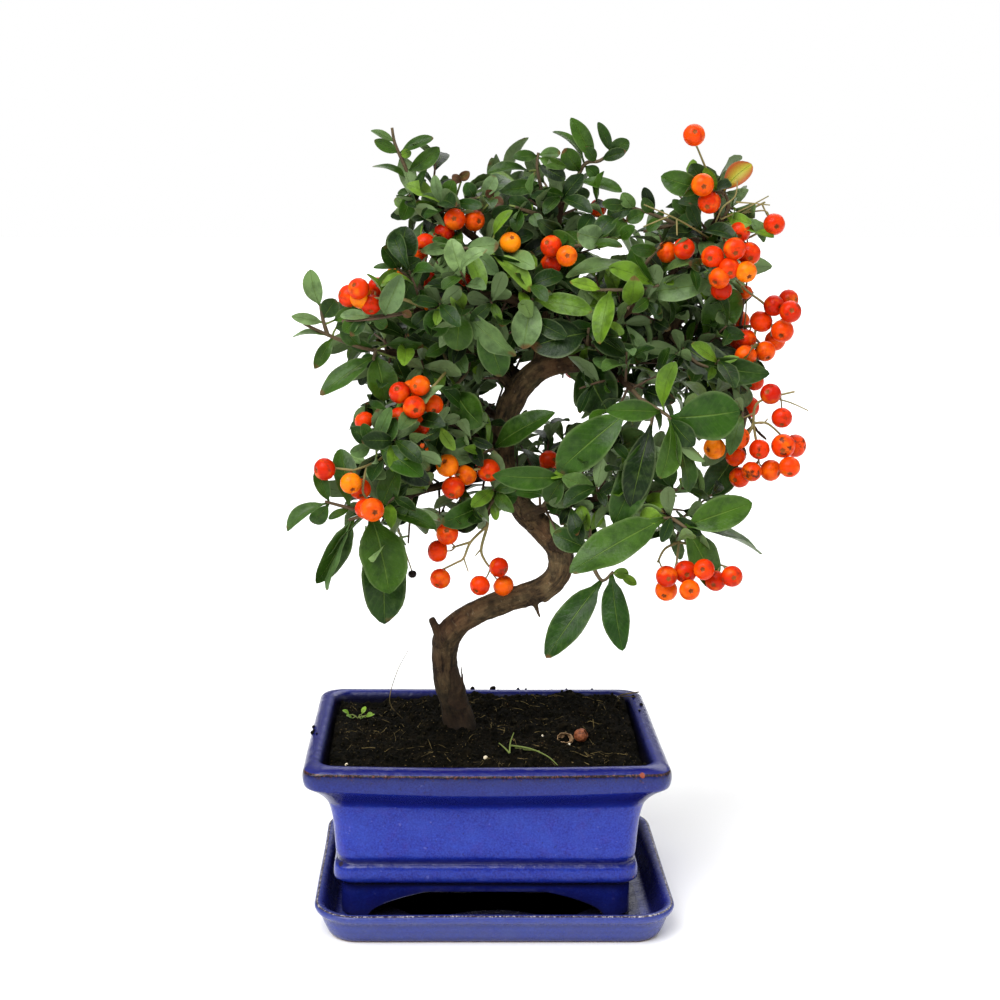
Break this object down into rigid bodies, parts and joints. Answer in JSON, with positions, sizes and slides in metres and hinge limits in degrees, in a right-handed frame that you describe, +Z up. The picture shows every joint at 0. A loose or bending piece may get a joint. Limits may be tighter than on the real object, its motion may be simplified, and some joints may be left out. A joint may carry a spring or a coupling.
{
  "type": "firethorn bonsai in a glazed pot with a drip tray",
  "caption": "Small potted tree with an S-shaped trunk, leafy sprays and bunches of orange berries, in a footed glazed pot standing in its drip tray.",
  "frame": {"origin": "centre of the pot's footprint, on the surface that the drip tray stands on", "axes": "+Z up, +X to the right along the pot's long side, +Y to the back, as seen from the tree's front"},
  "size_m": [0.2123, 0.15, 0.3308],
  "materials": {
    "glaze": "glossy cobalt blue glaze on stoneware, thin and brown at the edges",
    "soil": "dark crumbly potting soil",
    "drain_mesh": "moulded plastic mesh",
    "bark": "dark grey-brown bark",
    "leaf": "dark green leaves with a waxy sheen",
    "berry": "waxy orange-red skin"
  },
  "bodies": {
    "root": {"drip_tray": "glaze", "pot": "glaze", "soil": "soil", "drain_mesh_left": "drain_mesh", "drain_mesh_right": "drain_mesh", "trunk_and_branches": "bark", "berries_top_right": "berry", "berries_right_high": "berry", "berries_right_inner": "berry", "berries_right_edge": "berry", "berries_far_right": "berry", "berries_right_low": "berry", "berries_center_low": "berry", "berries_center": "berry", "berries_left_low": "berry", "berries_left_middle": "berry", "berries_left_high": "berry", "berries_crown_left": "berry", "berries_crown_front": "berry", "berry_crown_middle": "berry", "berries_crown_right": "berry", "berries_rear_right": "berry", "berries_rear_left": "berry", "leaf_spray_left_low": "leaf", "leaf_spray_left_middle": "leaf", "leaf_spray_center_low": "leaf", "leaf_spray_center": "leaf", "leaf_spray_left_inner": "leaf", "leaf_spray_left_tip": "leaf", "leaf_spray_left_high_tip": "leaf", "leaf_spray_left_high_middle": "leaf", "leaf_spray_left_crown": "leaf", "leaf_spray_crown_left": "leaf", "leaf_spray_top_left": "leaf", "leaf_spray_top_left_shoot": "leaf", "leaf_spray_top_center": "leaf", "leaf_spray_top": "leaf", "leaf_spray_crown_middle": "leaf", "leaf_spray_crown_right": "leaf", "leaf_spray_top_right": "leaf", "leaf_spray_right_upper": "leaf", "leaf_spray_center_upper": "leaf", "leaf_spray_center_front": "leaf", "leaf_spray_right_middle": "leaf", "leaf_spray_right_low_end": "leaf", "leaf_spray_right_low_side": "leaf", "leaf_spray_right_low_hanging": "leaf", "leaf_spray_right_low_middle": "leaf", "leaf_spray_right_dark": "leaf", "leaf_spray_right_edge": "leaf", "leaf_spray_far_right_low": "leaf", "leaf_spray_rear_left_high": "leaf", "leaf_spray_rear_right_high": "leaf", "leaf_spray_rear_crown": "leaf", "leaf_spray_rear_right": "leaf", "leaf_spray_rear_left": "leaf", "leaf_spray_rear_low": "leaf", "leaf_spray_rear_right_edge": "leaf", "leaf_spray_rear_left_edge": "leaf"}
  },
  "joints": []
}
